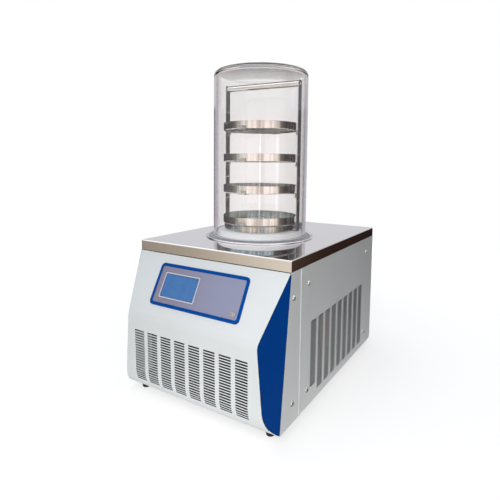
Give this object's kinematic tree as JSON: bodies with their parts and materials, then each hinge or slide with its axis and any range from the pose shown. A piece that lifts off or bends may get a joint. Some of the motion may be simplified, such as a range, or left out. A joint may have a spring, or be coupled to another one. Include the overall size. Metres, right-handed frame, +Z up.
{
  "type": "freeze dryer",
  "caption": "Bench-top freeze dryer: sheet-metal cabinet with slanted control panel and louvres, mirror deck, cold trap, and a clear bell jar over a rack of round trays.",
  "frame": {"origin": "middle of the footprint, on the surface that the feet stand on", "axes": "+Z up, the control panel faces -Y, +X to the right as seen from the front"},
  "size_m": [0.45, 0.7048, 0.8557],
  "materials": {
    "white_paint": "smooth white powder coat on sheet steel",
    "blue_paint": "deep blue paint on sheet steel",
    "border_blue": "printed blue border of the control panel",
    "console_grey": "grey-violet satin overlay",
    "bezel_grey": "light grey moulded bezel",
    "screen_glass": "glossy blue display",
    "polished_steel": "mirror-polished stainless steel",
    "brushed_steel": "brushed stainless steel",
    "zinc_steel": "dull zinc-plated steel",
    "clear_glass": "clear jar wall",
    "silicone": "milky silicone rubber",
    "black_rubber": "black rubber",
    "black_plastic": "black moulded plastic",
    "red_plastic": "red moulded plastic",
    "copper": "drawn copper tube",
    "black_enamel": "black enamel",
    "foam": "cut polyurethane foam",
    "aluminium": "mill-finish aluminium",
    "board_green": "green circuit board",
    "brass": "turned brass"
  },
  "bodies": {
    "cabinet": {"lid": "polished_steel", "front_panel": "white_paint", "side_panel_right": "white_paint", "side_panel_left": "white_paint", "rear_panel": "white_paint", "base_pan": "zinc_steel", "cheek_right": "blue_paint", "cheek_left": "blue_paint", "side_strip_right": "white_paint", "side_strip_left": "white_paint", "foot_front_right": "black_rubber", "foot_front_left": "black_rubber", "foot_rear_right": "black_rubber", "foot_rear_left": "black_rubber", "console_frame": "border_blue", "console_face": "console_grey", "screen_bezel": "bezel_grey", "screen": "screen_glass", "data_port": "brushed_steel", "control_board": "board_green", "cold_trap": "polished_steel", "trap_insulation": "foam", "cooling_coil": "copper", "jar_seal": "silicone", "bell_jar": "clear_glass", "rack_leg_left": "brushed_steel", "rack_leg_right": "brushed_steel", "rack_handle": "polished_steel", "rack_ring": "brushed_steel", "compressor_mount_right": "black_rubber", "compressor_mount_left": "black_rubber", "compressor": "black_enamel", "condenser": "aluminium", "fan_shroud": "zinc_steel", "fan_bracket": "zinc_steel", "fan_motor": "black_enamel", "filter_drier": "copper", "discharge_pipe": "copper", "liquid_pipe": "copper", "capillary_tube": "copper", "suction_pipe": "copper", "vacuum_pipe": "zinc_steel", "drain_pipe": "silicone", "electrical_box": "zinc_steel", "mains_inlet": "black_plastic", "switch_housing": "black_plastic", "vacuum_port": "polished_steel", "air_valve": "brass", "shelf_1": "brushed_steel", "tray_1": "polished_steel", "shelf_2": "brushed_steel", "tray_2": "polished_steel", "shelf_3": "brushed_steel", "tray_3": "polished_steel", "shelf_4": "brushed_steel", "tray_4": "polished_steel"},
    "fan": {"fan_impeller": "aluminium"},
    "switch": {"power_rocker": "red_plastic"},
    "valve": {"air_valve_lever": "red_plastic"}
  },
  "joints": [
    {"name": "fan_spin", "type": "hinge", "parent": "cabinet", "child": "fan", "pos_m": [0, -0.2532, 0.132], "axis": [0, 1, 0], "continuous": true},
    {"name": "power_rock", "type": "hinge", "parent": "cabinet", "child": "switch", "pos_m": [-0.1, 0.314, 0.075], "axis": [1, 0, 0], "range_deg": [0, 18]},
    {"name": "valve_turn", "type": "hinge", "parent": "cabinet", "child": "valve", "pos_m": [0.13, 0.3285, 0.18], "axis": [0, 0, 1], "range_deg": [0, 90]}
  ]
}
